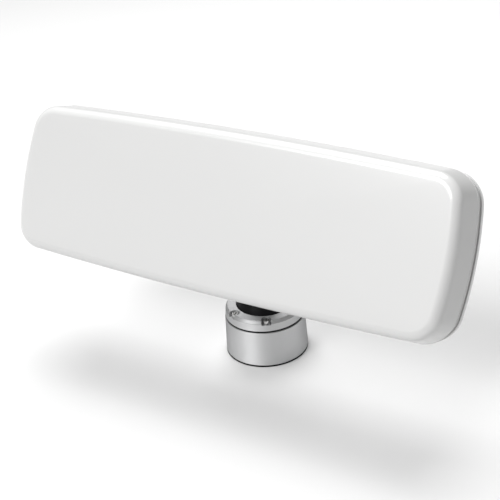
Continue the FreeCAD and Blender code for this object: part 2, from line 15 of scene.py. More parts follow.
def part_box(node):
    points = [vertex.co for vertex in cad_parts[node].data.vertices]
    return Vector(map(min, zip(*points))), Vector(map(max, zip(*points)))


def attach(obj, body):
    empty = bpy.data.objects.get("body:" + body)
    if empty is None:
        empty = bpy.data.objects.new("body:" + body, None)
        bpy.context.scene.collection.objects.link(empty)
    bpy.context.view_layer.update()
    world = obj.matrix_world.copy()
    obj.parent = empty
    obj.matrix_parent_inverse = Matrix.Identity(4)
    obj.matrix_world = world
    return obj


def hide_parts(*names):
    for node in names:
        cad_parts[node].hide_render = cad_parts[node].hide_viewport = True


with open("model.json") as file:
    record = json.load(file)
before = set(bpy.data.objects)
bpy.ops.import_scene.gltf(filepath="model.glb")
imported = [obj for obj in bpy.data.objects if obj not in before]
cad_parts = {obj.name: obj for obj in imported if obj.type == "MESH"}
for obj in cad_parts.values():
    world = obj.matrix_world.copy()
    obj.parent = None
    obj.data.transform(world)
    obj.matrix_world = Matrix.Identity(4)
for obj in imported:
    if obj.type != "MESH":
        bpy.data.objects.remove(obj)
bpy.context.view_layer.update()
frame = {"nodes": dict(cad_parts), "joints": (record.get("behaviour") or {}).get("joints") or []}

bl_info = {
    "name": "Instrument pod on a ball base",
    "version": (1, 0, 0),
    "blender": (4, 5, 0),
    "location": "3D View > Sidebar > Pod",
    "description": "Builds the shells, arm, ball, base and finishes of a marine instrument pod",
    "category": "Add Mesh",
}

SMOOTH_ANGLE = math.radians(38)
SWIVEL_CENTRE = Vector(frame["joints"][1]["pos_m"])
SEAM_CENTRE = sum(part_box("pod_seal"), Vector()) / 2


def length(name, default, about):
    """A length property, in metres."""
    return FloatProperty(name=name, description=about, default=default, min=0.0, unit="LENGTH", precision=4)


def angle(name, degrees, about):
    """An angle property, given in degrees."""
    return FloatProperty(name=name, description=about, default=math.radians(degrees), unit="ROTATION")


def colour(name, default, about):
    return FloatVectorProperty(name=name, description=about, default=default, subtype="COLOR",
                               size=3, min=0.0, max=1.0)


def share(name, default, about, high=1.0):
    return FloatProperty(name=name, description=about, default=default, min=0.0, max=high)


class PodSizes(bpy.types.PropertyGroup):
    """The pod's two shells, in the pod's own frame: X to the side, Y up the face, Z out of it."""
    tilt: angle("Tilt", 26.7, "How far the face looks up")
    width: length("Width", 0.621, "Width at the seam")
    height: length("Height", 0.208, "Height at the seam")
    corner: length("Corner", 0.041, "Corner radius at the seam")
    long_bow: length("Long bow", 0.0061, "Outward bow of the long edges")
    short_bow: length("Short bow", 0.0114, "Outward bow of the short edges")
    wall: length("Wall", 0.003, "Wall of both shells")
    half_gap: length("Half gap", 0.0006, "Half the space between the two rims")
    front_depth: length("Front depth", 0.0465, "Front shell, seam to face")
    front_draft: length("Front draft", 0.0066, "How far the front's sides lean in")
    front_round: length("Front rounding", 0.012, "Rounding of the face's edge")
    crown: length("Crown", 0.0009, "How far the face's middle stands proud of its edge")
    rear_depth: length("Rear depth", 0.028, "Rear shell, seam to back")
    rear_draft: length("Rear draft", 0.002, "How far the rear's sides lean in")
    rear_round: length("Rear rounding", 0.009, "Rounding of the back's edge")
    groove_width: length("Groove width", 0.0108, "Groove beside the seam, along the depth")
    groove_depth: length("Groove depth", 0.0021, "Groove beside the seam, inwards")
    seal_inset: length("Seal inset", 0.0017, "Seam seal behind the outline")
    boss_radius: length("Boss radius", 0.0065, "Screw bosses inside the shells")
    corner_boss_x: length("Corner boss X", 0.274, "Corner bosses, to the side")
    corner_boss_y: length("Corner boss Y", 0.072, "Corner bosses, up the face")
    middle_boss_x: length("Middle boss X", 0.100, "Middle bosses, to the side")
    middle_boss_y: length("Middle boss Y", 0.085, "Middle bosses, up the face")
    well_radius: length("Well radius", 0.0046, "Screw wells in the back")
    well_depth: length("Well depth", 0.008, "Screw wells in the back")
    cable_hole: length("Cable hole", 0.012, "Radius of the cable hole in the back")
    pad_pitch: length("Flange pitch", 0.023, "Pitch circle radius of the flange screws")
    bolt_hole: length("Bolt hole", 0.00275, "Radius of the flange bolt holes")


class ArmSizes(bpy.types.PropertyGroup):
    """The hollow arm between ball and pod."""
    radius: length("Radius", 0.0165, "Outer radius of the tube")
    bore: length("Bore", 0.010, "Radius of the cable bore")
    bend: length("Bend", 0.034, "Radius of the bend")
    foot_radius: length("Foot radius", 0.0176, "Round foot on the ball")
    foot_height: length("Foot height", 0.005, "Height of the foot")
    flange_radius: length("Flange radius", 0.031, "Round flange on the pod")
    flange_thickness: length("Flange thickness", 0.007, "Thickness of the flange")
    pad_thickness: length("Pad thickness", 0.0015, "Gasket between flange and pod")
    web: length("Web", 0.007, "Fillet where the tube meets the flange")


class BaseSizes(bpy.types.PropertyGroup):
    """The turned base: housing, clamp collar, their gaskets and screws."""
    deck_radius: length("Deck radius", 0.055, "Housing at the deck")
    waist_radius: length("Waist radius", 0.0532, "Housing at the seam")
    collar_foot_radius: length("Collar foot radius", 0.0526, "Collar just above the seam")
    collar_edge_radius: length("Collar edge radius", 0.0518, "Collar under its chamfer")
    collar_edge_height: length("Collar edge height", 0.0636, "Lower edge of the chamfer")
    collar_top_radius: length("Collar top radius", 0.0496, "Flat top of the collar")
    line_width: length("Line width", 0.0006, "Turned lines at both edges of the chamfer")
    line_depth: length("Line depth", 0.0005, "Depth of the turned lines")
    mouth_radius: length("Mouth radius", 0.0371, "Rim of the collar's hole")
    lip_radius: length("Lip radius", 0.0388, "Collar's hole at the lip's underside")
    lip_height: length("Lip height", 0.0606, "Underside of the lip")
    bore: length("Bore", 0.0422, "Bore of housing and collar")
    seam_seal_radius: length("Seam seal radius", 0.0521, "Gasket between housing and collar")
    cavity: length("Cavity", 0.047, "Hollow of the housing")
    ledge: length("Ledge", 0.0392, "Inner radius of the ledge under the race")
    ledge_under: length("Ledge underside", 0.0404, "Height of the ledge's underside")
    shoulder: length("Shoulder", 0.0334, "Height where the hollow starts to close in")
    cable_hole: length("Cable hole", 0.016, "Cable hole in floor and pad")
    floor: length("Floor", 0.006, "Thickness of the floor")
    deck_pitch: length("Deck bolt pitch", 0.035, "Pitch circle radius of the deck bolts")
    deck_hole: length("Deck bolt hole", 0.0032, "Radius of the deck bolt holes")
    pocket_radius: length("Pocket radius", 0.0063, "Half width of the screw pockets")
    pocket_pitch: length("Pocket pitch", 0.0455, "Where the pockets' round ends are centred")
    pocket_floor: length("Pocket floor", 0.062, "Height of the pockets' floor")
    screw_pitch: length("Screw pitch", 0.0458, "Pitch circle radius of the clamp screws")
    screw_count: IntProperty(name="Screws", description="Number of clamp screws", default=6, min=3, max=12)
    screw_turn: angle("Screw turn", -56.0, "First clamp screw, from +X")
    ball_radius: length("Ball radius", 0.0385, "Radius of the ball")
    ball_wall: length("Ball wall", 0.006, "Wall of the ball")


class Finishes(bpy.types.PropertyGroup):
    """Colours and gloss of the materials."""
    shell: colour("Shell", (0.56, 0.56, 0.557), "Moulded shells")
    shell_rough: share("Shell roughness", 0.26, "Roughness of the shells")
    # Painted shade: how much the shell's colour is darkened in the groove beside the seam.
    groove_painted_shade: share("Groove shade", 0.25, "How much greyer the groove beside the seam is")
    metal: colour("Metal", (0.69, 0.693, 0.697), "Satin anodised base")
    metal_rough: share("Metal roughness", 0.52, "Roughness of the base")
    # Painted shade: how much the metal's colour is darkened on faces that look up.
    top_painted_shade: share("Top shade", 0.50, "How much darker the base's faces that look up are")
    black: colour("Black", (0.006, 0.006, 0.0065), "Black coated ball and arm")
    rubber: colour("Rubber", (0.005, 0.005, 0.005), "Seals and pads")
    steel: colour("Steel", (0.62, 0.62, 0.61), "Stainless screws")
    brass: colour("Brass", (0.60, 0.42, 0.16), "Nut and inserts")
    acetal: colour("Acetal", (0.02, 0.02, 0.022), "Race and washer")


class StageSettings(bpy.types.PropertyGroup):
    """Camera, lights and floor."""
    azimuth: angle("Azimuth", 33.447, "Camera round to the right of straight on")
    elevation: angle("Elevation", 32.899, "Camera above the horizon")
    distance: length("Distance", 1.5418, "Camera from the middle of the base's foot")
    turn: angle("Turn", 0.507, "Camera aimed left of the base's foot")
    raise_: angle("Raise", 4.804, "Camera aimed above the base's foot")
    roll: angle("Roll", 4.553, "Camera rolled clockwise")
    lens: FloatProperty(name="Lens", description="Focal length on a 36 mm sensor, in millimetres",
                        default=81.68)
    key: FloatProperty(name="Key light", description="Strength of the light from the front", default=3.05)
    key_width: angle("Key width", 34, "How wide the light from the front looks")
    top: FloatProperty(name="Top light", description="Strength of the light from above", default=3.7)
    top_width: angle("Top width", 45, "How wide the light from above looks")
    sky: FloatProperty(name="Sky", description="Strength of the even light from above", default=0.12)
    horizon: FloatProperty(name="Horizon", description="Strength of the even light near the floor",
                           default=0.22)
    floor: colour("Floor", (0.58, 0.58, 0.58), "Plain pale floor")
    # Painted shade: the floor's colour is darkened to this share far from the pod.
    far_floor_shade: share("Far floor", 0.24, "Brightness of the floor far off, as a share of the near floor's")


# ---------------------------------------------------------------- outlines and profiles

def rounded(corners, radius, steps=6):
    """A closed outline whose corners become tangent arcs, with one radius or one a corner."""
    corners = np.array(corners, float)
    radii = np.broadcast_to(np.asarray(radius, float), len(corners))
    pieces = []
    for back, here, ahead, wanted in zip(np.roll(corners, 1, 0), corners, np.roll(corners, -1, 0), radii):
        to_back, to_ahead = back - here, ahead - here
        room = 0.48 * min(np.linalg.norm(to_back), np.linalg.norm(to_ahead))
        to_back, to_ahead = to_back / np.linalg.norm(to_back), to_ahead / np.linalg.norm(to_ahead)
        half = math.acos(np.clip(to_back @ to_ahead, -1, 1)) / 2
        if wanted <= 0 or half > 1.55:
            pieces.append(here[None])
            continue
        cut = min(wanted / math.tan(half), room)
        middle = (to_back + to_ahead) / np.linalg.norm(to_back + to_ahead)
        centre = here + middle * cut / math.cos(half)
        start, end = here + to_back * cut - centre, here + to_ahead * cut - centre
        sweep = math.atan2(start[0] * end[1] - start[1] * end[0], start @ end)
        turn = np.linspace(0, sweep, steps + 1)[:, None]
        across = np.array([-start[1], start[0]])
        pieces.append(centre + start * np.cos(turn) + across * np.sin(turn))
    return np.concatenate(pieces)


def divided(points, longest):
    """A closed outline with its long runs cut into equal parts no longer than a length."""
    ahead = np.roll(points, -1, 0)
    parts = []
    for here, there in zip(points, ahead):
        count = max(1, math.ceil(np.linalg.norm(there - here) / longest))
        parts.append(here + (there - here) * (np.arange(count) / count)[:, None])
    return np.concatenate(parts)


def pod_outline(sizes, corner_steps=22, long_steps=60, short_steps=26):
    """Points and outward normals of the pod's outline at the seam.

    Four wide arcs bowed outwards are joined by corner arcs that touch them from inside.  A corner's centre is
    where two circles about the wide arcs' centres cross, each short of its arc's radius by the corner's.
    """
    half_w, half_h = sizes.width / 2, sizes.height / 2
    long_r = (half_w ** 2 + sizes.long_bow ** 2) / (2 * sizes.long_bow)
    short_r = (half_h ** 2 + sizes.short_bow ** 2) / (2 * sizes.short_bow)
    top_c, side_c = np.array([0, half_h - long_r]), np.array([half_w - short_r, 0])
    to_top, to_side = long_r - sizes.corner, short_r - sizes.corner
    gap = np.linalg.norm(side_c - top_c)
    unit = (side_c - top_c) / gap
    along = (gap ** 2 + to_top ** 2 - to_side ** 2) / (2 * gap)
    corner_c = top_c + unit * along + np.array([unit[1], -unit[0]]) * math.sqrt(to_top ** 2 - along ** 2)
    top_turn = math.atan2(*(corner_c - top_c)[::-1])
    side_turn = math.atan2(*(corner_c - side_c)[::-1])
    arcs = [(side_c, short_r, 0, side_turn, short_steps // 2), (corner_c, sizes.corner, side_turn, top_turn,
            corner_steps), (top_c, long_r, top_turn, math.pi / 2, long_steps // 2)]
    points, normals = [], []
    for centre, radius, start, end, steps in arcs:
        turn = np.linspace(start, end, steps, endpoint=False)
        normal = np.stack([np.cos(turn), np.sin(turn)], -1)
        points.append(centre + radius * normal)
        normals.append(normal)
    top = (np.array([[0, half_h]]), np.array([[0.0, 1.0]]))
    first = np.concatenate(points + [top[0]]), np.concatenate(normals + [top[1]])
    mirrored = []
    for part in first:
        half = np.concatenate([part, part[-2::-1] * [-1, 1]])
        mirrored.append(np.concatenate([half, half[-2:0:-1] * [1, -1]]))
    return mirrored


def pod_matrix(sizes):
    """The pod's own frame in the row frame: X, up the face, out of the face, about the seam's centre."""
    turn = Matrix.Rotation(math.pi / 2 - sizes.tilt, 4, "X")
    return np.array(Matrix.Translation(SEAM_CENTRE) @ turn)


def in_pod(points, sizes):
    """Points of the pod's own frame, placed in the row frame."""
    matrix = pod_matrix(sizes)
    return points @ matrix[:3, :3].T + matrix[:3, 3]


def round_pod(rows, sizes):
    """A profile carried round the pod's outline.

    A row is (inset, depth, scale): the outline moved inwards along its normals by the inset, shrunk towards
    the pod's centre by the scale, at that depth out of the seam plane.
    """
    points, normals = pod_outline(sizes)
    rows = np.array(rows)[:, None]
    flat = (points - normals * rows[..., 0:1]) * rows[..., 2:3]
    depth = np.broadcast_to(rows[..., 1:2], flat.shape[:2] + (1,))
    return in_pod(np.concatenate([flat, depth], -1), sizes)


def turned(profile, around=192, middle=(0.0, 0.0)):
    """A (radius, height) profile turned about an upright axis: x and y are radius times cosine and sine."""
    turn = np.arange(around) * 2 * math.pi / around
    radius, height = profile[:, None, 0], profile[:, None, 1]
    x, y = middle[0] + radius * np.cos(turn), middle[1] + radius * np.sin(turn)
    return np.stack([x, y, np.broadcast_to(height, x.shape)], -1)


def on_circle(radius, count, start=0.0):
    """Points spaced evenly on a circle about the axis."""
    turn = start + np.arange(count) * 2 * math.pi / count
    return np.stack([radius * np.cos(turn), radius * np.sin(turn)], -1)


# ---------------------------------------------------------------- meshes

def grid_faces(rows, around, closed):
    """Corner numbers of the quads between neighbours of a grid that closes on itself around each row."""
    row, step = np.meshgrid(np.arange(rows if closed else rows - 1), np.arange(around), indexing="ij")
    next_row, next_step = (row + 1) % rows, (step + 1) % around
    corners = [row * around + step, row * around + next_step, next_row * around + next_step,
               next_row * around + step]
    return np.stack(corners, -1).reshape(-1, 4)


def add_skin(name, skins, smooth=SMOOTH_ANGLE):
    """One object from several skins, each a grid of points rows x around x 3.

    A closed skin joins its last row to its first; an open one has both end rows drawn to their middles.
    """
    vertices, faces, start = [], [], 0
    for grid, closed in skins:
        rows, around = grid.shape[:2]
        flat = grid.reshape(-1, 3)
        faces += (grid_faces(rows, around, closed) + start).tolist()
        if not closed:
            poles = np.stack([grid[0].mean(0), grid[-1].mean(0)])
            step = np.arange(around)
            for pole, first in ((len(flat), 0), (len(flat) + 1, (rows - 1) * around)):
                fan = np.stack([first + step, first + (step + 1) % around, np.full(around, pole)], -1)
                faces += (fan + start).tolist()
            flat = np.concatenate([flat, poles])
        vertices.append(flat)
        start += len(flat)
    mesh = bpy.data.meshes.new(name)
    mesh.from_pydata(np.concatenate(vertices).tolist(), [], faces)
    return finish_mesh(name, mesh, smooth)


def finish_mesh(name, mesh, smooth):
    """Merge doubles, point the faces outwards, shade smooth but for sharp edges, even out the normals."""
    work = bmesh.new()
    work.from_mesh(mesh)
    bmesh.ops.remove_doubles(work, verts=work.verts, dist=1e-7)
    bmesh.ops.recalc_face_normals(work, faces=work.faces)
    work.to_mesh(mesh)
    work.free()
    mesh.shade_smooth()
    mesh.set_sharp_from_angle(angle=smooth)
    piece = bpy.data.objects.new(name, mesh)
    bpy.context.scene.collection.objects.link(piece)
    even = piece.modifiers.new("Even normals", "WEIGHTED_NORMAL")
    even.keep_sharp = True
    return piece


def reshape(piece, steps, smooth=SMOOTH_ANGLE):
    """The piece after unions and differences, each with the skins of one tool, as a new mesh."""
    tools = []
    for operation, skins in steps:
        tools.append(add_skin("tool", skins))
        step = piece.modifiers.new("Reshape", "BOOLEAN")
        step.object, step.operation, step.solver = tools[-1], operation, "EXACT"
    piece.modifiers.remove(piece.modifiers["Even normals"])
    bpy.context.view_layer.update()
    shape = piece.evaluated_get(bpy.context.evaluated_depsgraph_get())
    mesh = bpy.data.meshes.new_from_object(shape)
    name = piece.name
    for old in [piece, *tools]:
        bpy.data.objects.remove(old)
    mesh.name = name
    return finish_mesh(name, mesh, smooth)


def ring_piece(name, corners, radius, around=192):
    """A turned ring with a closed section of rounded corners."""
    return add_skin(name, [(turned(rounded(corners, radius), around), True)])


def peg(radius, low, high, middle=(0.0, 0.0), flare=0.0, matrix=None, around=48):
    """The skin of a round tool; with a flare its top opens like a trumpet, which rounds the hole's rim."""
    heights = np.array([low, high - flare])
    radii = np.array([radius, radius])
    if flare:
        turn = np.linspace(0, math.pi / 2, 7)[1:]
        heights = np.concatenate([heights, high - flare + flare * np.sin(turn), [high + flare]])
        radii = np.concatenate([radii, radius + flare * (1 - np.cos(turn)), [radius + flare]])
    grid = turned(np.stack([radii, heights], -1), around, middle)
    if matrix is not None:
        grid = grid @ matrix[:3, :3].T + matrix[:3, 3]
    return grid, False


def dress(piece, body, replaced, material):
    """Hand the piece to its body, hide the CAD nodes it stands for, and give it its finish."""
    piece.data.materials.clear()
    piece.data.materials.append(material)
    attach(piece, body)
    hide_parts(*replaced)
    return piece


# ---------------------------------------------------------------- materials

def new_material(name, **sockets):
    """A material with one Principled shader; returns the material, its nodes, links and shader."""
    material = bpy.data.materials.new(name)
    material.use_nodes = True
    nodes, links = material.node_tree.nodes, material.node_tree.links
    shader = nodes["Principled BSDF"]
    for socket, value in sockets.items():
        shader.inputs[socket.replace("_", " ")].default_value = value
    return material, nodes, links, shader


def noise(nodes, links, scale, detail=3.0, stretch=(1.0, 1.0, 1.0), rough=0.5):
    """Noise in Object coordinates, stretched along the axes."""
    place = nodes.new("ShaderNodeTexCoord")
    mapping = nodes.new("ShaderNodeMapping")
    mapping.inputs["Scale"].default_value = stretch
    texture = nodes.new("ShaderNodeTexNoise")
    texture.inputs["Scale"].default_value = scale
    texture.inputs["Detail"].default_value = detail
    texture.inputs["Roughness"].default_value = rough
    links.new(place.outputs["Object"], mapping.inputs["Vector"])
    links.new(mapping.outputs["Vector"], texture.inputs["Vector"])
    return texture.outputs["Fac"]


def spread(nodes, links, source, low, high, start=0.3, end=0.7):
    """A value mapped from start..end to low..high."""
    node = nodes.new("ShaderNodeMapRange")
    for socket, value in (("From Min", start), ("From Max", end), ("To Min", low), ("To Max", high)):
        node.inputs[socket].default_value = value
    links.new(source, node.inputs["Value"])
    return node.outputs["Result"]


def tint(nodes, links, shader, source, base, change):
    """Base colour between two shades of one colour, led by a value."""
    mix = nodes.new("ShaderNodeMix")
    mix.data_type = "RGBA"
    mix.inputs["A"].default_value = [c * (1 - change) for c in base] + [1]
    mix.inputs["B"].default_value = [min(1, c * (1 + change)) for c in base] + [1]
    links.new(source, mix.inputs["Factor"])
    links.new(mix.outputs["Result"], shader.inputs["Base Color"])


def bump(nodes, links, shader, source, height, strength=1.0):
    """Relief of a height in metres."""
    node = nodes.new("ShaderNodeBump")
    node.inputs["Strength"].default_value = strength
    node.inputs["Distance"].default_value = height
    links.new(source, node.inputs["Height"])
    links.new(node.outputs["Normal"], shader.inputs["Normal"])


def shell_material(finish, sizes):
    """Gloss moulded plastic: a faint orange-peel relief, slow gloss changes and a clear top layer.

    The groove beside the seam gets painted shade: its colour is darkened, led by the depth behind the seam
    plane.
    """
    material, nodes, links, shader = new_material("Moulded plastic", IOR=1.5, Coat_Weight=0.2,
                                                  Coat_Roughness=0.1)
    slow = noise(nodes, links, 9.0, 4.0)
    fine = noise(nodes, links, 260.0, 2.0)
    place = nodes.new("ShaderNodeTexCoord")
    depth = nodes.new("ShaderNodeVectorMath")
    depth.operation = "DOT_PRODUCT"
    out = Vector((0.0, -math.cos(sizes.tilt), math.sin(sizes.tilt)))
    depth.inputs[1].default_value = out
    links.new(place.outputs["Object"], depth.inputs[0])
    middle = out.dot(SEAM_CENTRE)
    far = middle - sizes.half_gap - sizes.groove_width
    inside = spread(nodes, links, depth.outputs["Value"], 0.0, 1.0, far - 0.0006, far + 0.0004)
    before = spread(nodes, links, depth.outputs["Value"], 1.0, 0.0, middle - 0.0002, middle + 0.0002)
    groove = nodes.new("ShaderNodeMath")
    groove.operation = "MULTIPLY"
    links.new(inside, groove.inputs[0])
    links.new(before, groove.inputs[1])
    tint(nodes, links, shader, slow, finish.shell, 0.003)
    clean = shader.inputs["Base Color"].links[0].from_socket
    # Painted shade: the groove beside the seam gets a darker shell colour, standing in for the shade inside it.
    mix = nodes.new("ShaderNodeMix")
    mix.data_type = "RGBA"
    mix.inputs["B"].default_value = [c * (1 - finish.groove_painted_shade) for c in finish.shell] + [1]
    links.new(clean, mix.inputs["A"])
    links.new(groove.outputs["Value"], mix.inputs["Factor"])
    links.new(mix.outputs["Result"], shader.inputs["Base Color"])
    links.new(spread(nodes, links, slow, finish.shell_rough * 0.92, finish.shell_rough * 1.08, 0.0, 1.0),
              shader.inputs["Roughness"])
    bump(nodes, links, shader, fine, 0.000012)
    return material


def metal_material(finish):
    """Satin anodised aluminium with the fine rings that turning leaves.

    The rings are noise led by height and by distance from the axis, so they run round walls and flats
    alike. Gloss spreads across them on the walls: the tangent is the axis crossed with the place, turned
    a quarter. Faces that look up get painted shade, a darker colour, and less anisotropy, so their gloss is
    even.
    """
    material, nodes, links, shader = new_material("Satin aluminium", Metallic=1.0, Anisotropic_Rotation=0.25,
                                                  Specular_Tint=(0.2, 0.2, 0.2, 1.0))
    place = nodes.new("ShaderNodeTexCoord")
    split = nodes.new("ShaderNodeSeparateXYZ")
    flat = nodes.new("ShaderNodeVectorMath")
    flat.operation = "MULTIPLY"
    flat.inputs[1].default_value = (1.0, 1.0, 0.0)
    reach = nodes.new("ShaderNodeVectorMath")
    reach.operation = "LENGTH"
    join = nodes.new("ShaderNodeCombineXYZ")
    rings = nodes.new("ShaderNodeTexNoise")
    rings.inputs["Scale"].default_value = 2600.0
    rings.inputs["Detail"].default_value = 3.0
    links.new(place.outputs["Object"], split.inputs[0])
    links.new(place.outputs["Object"], flat.inputs[0])
    links.new(flat.outputs["Vector"], reach.inputs[0])
    links.new(reach.outputs["Value"], join.inputs["X"])
    links.new(split.outputs["Z"], join.inputs["Z"])
    links.new(join.outputs["Vector"], rings.inputs["Vector"])
    round_axis = nodes.new("ShaderNodeVectorMath")
    round_axis.operation = "CROSS_PRODUCT"
    round_axis.inputs[0].default_value = (0.0, 0.0, 1.0)
    to_world = nodes.new("ShaderNodeVectorTransform")
    to_world.vector_type, to_world.convert_from, to_world.convert_to = "VECTOR", "OBJECT", "WORLD"
    links.new(place.outputs["Object"], round_axis.inputs[1])
    links.new(round_axis.outputs["Vector"], to_world.inputs["Vector"])
    links.new(to_world.outputs["Vector"], shader.inputs["Tangent"])
    cloud = noise(nodes, links, 60.0, 5.0)
    grain = noise(nodes, links, 4200.0, 2.0)
    tint(nodes, links, shader, cloud, finish.metal, 0.03)
    facing = nodes.new("ShaderNodeSeparateXYZ")
    links.new(place.outputs["Normal"], facing.inputs[0])
    upward = spread(nodes, links, facing.outputs["Z"], 0.0, 1.0, 0.2, 0.75)
    level = spread(nodes, links, upward, 0.65, 0.05, 0.0, 1.0)
    links.new(level, shader.inputs["Anisotropic"])
    # Painted shade: faces that look up get a darker metal colour.
    clean = shader.inputs["Base Color"].links[0].from_socket
    mix = nodes.new("ShaderNodeMix")
    mix.data_type = "RGBA"
    mix.inputs["B"].default_value = [c * (1 - finish.top_painted_shade) for c in finish.metal] + [1]
    links.new(clean, mix.inputs["A"])
    links.new(upward, mix.inputs["Factor"])
    links.new(mix.outputs["Result"], shader.inputs["Base Color"])
    blend = nodes.new("ShaderNodeMath")
    blend.operation = "MULTIPLY_ADD"
    blend.inputs[1].default_value = 0.6
    links.new(rings.outputs["Fac"], blend.inputs[0])
    links.new(grain, blend.inputs[2])
    links.new(spread(nodes, links, cloud, finish.metal_rough * 0.92, finish.metal_rough * 1.1),
              shader.inputs["Roughness"])
    bump(nodes, links, shader, blend.outputs["Value"], 0.000006)
    return material


def plain_metal(name, base, rough, grain_scale=900.0, stretch=(1.0, 1.0, 1.0)):
    """Bright metal with fine scratches and uneven gloss."""
    material, nodes, links, shader = new_material(name, Metallic=1.0)
    fine = noise(nodes, links, grain_scale, 4.0, stretch)
    slow = noise(nodes, links, 120.0, 3.0)
    tint(nodes, links, shader, slow, base, 0.05)
    links.new(spread(nodes, links, fine, rough * 0.7, rough * 1.35), shader.inputs["Roughness"])
    bump(nodes, links, shader, fine, 0.000006)
    return material


def dull_material(name, base, rough, grain, height, specular=0.5):
    """Rubber, coating or moulded plastic with a fine grain and slightly uneven gloss."""
    material, nodes, links, shader = new_material(name, Specular_IOR_Level=specular)
    fine = noise(nodes, links, grain, 4.0, rough=0.6)
    slow = noise(nodes, links, 45.0, 3.0)
    tint(nodes, links, shader, slow, base, 0.15)
    links.new(spread(nodes, links, slow, rough * 0.88, min(1.0, rough * 1.12)), shader.inputs["Roughness"])
    bump(nodes, links, shader, fine, height)
    return material


MAKERS = {
    "shell": lambda f: shell_material(f, bpy.context.scene.pod_sizes),
    "metal": lambda f: metal_material(f),
    "plate": lambda f: plain_metal("Mill finish plate", f.metal, 0.38, 500.0, (1.0, 12.0, 12.0)),
    "black": lambda f: dull_material("Black coating", f.black, 0.45, 1500.0, 0.00002, 0.16),
    "rubber": lambda f: dull_material("Seal rubber", f.rubber, 0.62, 1100.0, 0.00003, 0.15),
    "steel": lambda f: plain_metal("Stainless steel", f.steel, 0.24),
    "brass": lambda f: plain_metal("Machined brass", f.brass, 0.30),
    "acetal": lambda f: dull_material("Acetal", f.acetal, 0.35, 700.0, 0.00001),
}
made = {}


def material(key):
    """The finish of that name, made once."""
    if key not in made:
        made[key] = MAKERS[key](bpy.context.scene.pod_finishes)
    return made[key]


# ---------------------------------------------------------------- pod

def boss_places(sizes):
    """The eight screw places: four near the corners, four along the long edges."""
    corner = (sizes.corner_boss_x, sizes.corner_boss_y)
    middle = (sizes.middle_boss_x, sizes.middle_boss_y)
    return [(x * sx, y * sy) for x, y in (corner, middle) for sx in (-1, 1) for sy in (-1, 1)]


def edge_rows(wall, slope, depth, radius, steps=10):
    """Rows of a face's rounded edge, from the leaning side to the flat, and the flat's inset.

    The arc touches both: its centre lies a radius below the flat and a radius, square to the side, inwards.
    """
    centre = wall + slope * (depth - radius) + radius * math.hypot(1, slope)
    turn = np.linspace(math.atan(slope), math.pi / 2, steps)
    return [(centre - radius * math.cos(t), depth - radius * (1 - math.sin(t)), 1.0) for t in turn], centre


def face_rows(inset, depth, crown, steps=12):
    """Rows from a face's edge to its middle, rising by the crown times one less the square of the scale."""
    scales = np.linspace(1, 0, steps + 1)[1:-1]
    return [(inset, depth + crown * (1 - s * s), s) for s in scales]


def shell_rows(rim_depth, rim_inset, depth, draft, radius, wall, crown, lip):
    """Rows of one shell, from the face's middle over the edge, down the side, round the rim and back inside.

    The side leans in along a straight line, and the face rises by its crown from the rounded edge to its middle.
    """
    slope = draft / depth
    low, edge = rim_depth + lip, depth - crown
    rounding, flat = edge_rows(0.0, slope, edge, radius)
    outside = face_rows(flat, edge, crown)[::-1] + rounding[::-1]
    outside += [(draft * t, depth * t, 1.0) for t in np.linspace(0.6, low / depth, 5)]
    rim = [(rim_inset + lip * (1 - math.cos(t)), rim_depth + lip * (1 - math.sin(t)), 1.0)
           for t in np.linspace(0, math.pi / 2, 5)]
    rounding, flat = edge_rows(wall, slope, edge - wall, max(radius - wall, 0.004), 6)
    inside = [(wall, rim_depth, 1.0), (wall + draft * 0.4, depth * 0.4, 1.0)] + rounding
    inside += face_rows(flat, edge - wall, crown, 6)
    return outside, rim, inside


def boss_skins(sizes, low, high):
    """Plain round bosses between two depths of the pod's frame."""
    skins = []
    for place in boss_places(sizes):
        bore, rim = 0.0021, sizes.boss_radius
        profile = rounded([(bore, low), (rim, low), (rim, high), (bore, high)],
                          0.0003, 2)
        skins.append((in_pod(turned(profile, 32, place), sizes), True))
    return skins


class POD_OT_front_shell(bpy.types.Operator):
    """Front shell: a drafted side, a round edge and a slightly crowned blank face, with bosses inside"""
    bl_idname = "pod.front_shell"
    bl_label = "Front shell"

    def execute(self, context):
        sizes = context.scene.pod_sizes
        outside, rim, inside = shell_rows(sizes.half_gap, 0.0, sizes.front_depth, sizes.front_draft,
                                          sizes.front_round, sizes.wall, sizes.crown, 0.0007)
        skins = [(round_pod(outside + rim + inside, sizes), False)]
        skins += boss_skins(sizes, sizes.half_gap, sizes.front_depth - sizes.wall - sizes.crown)
        dress(add_skin("front_shell", skins), "pod", ["front_cover"], material("shell"))
        return {"FINISHED"}


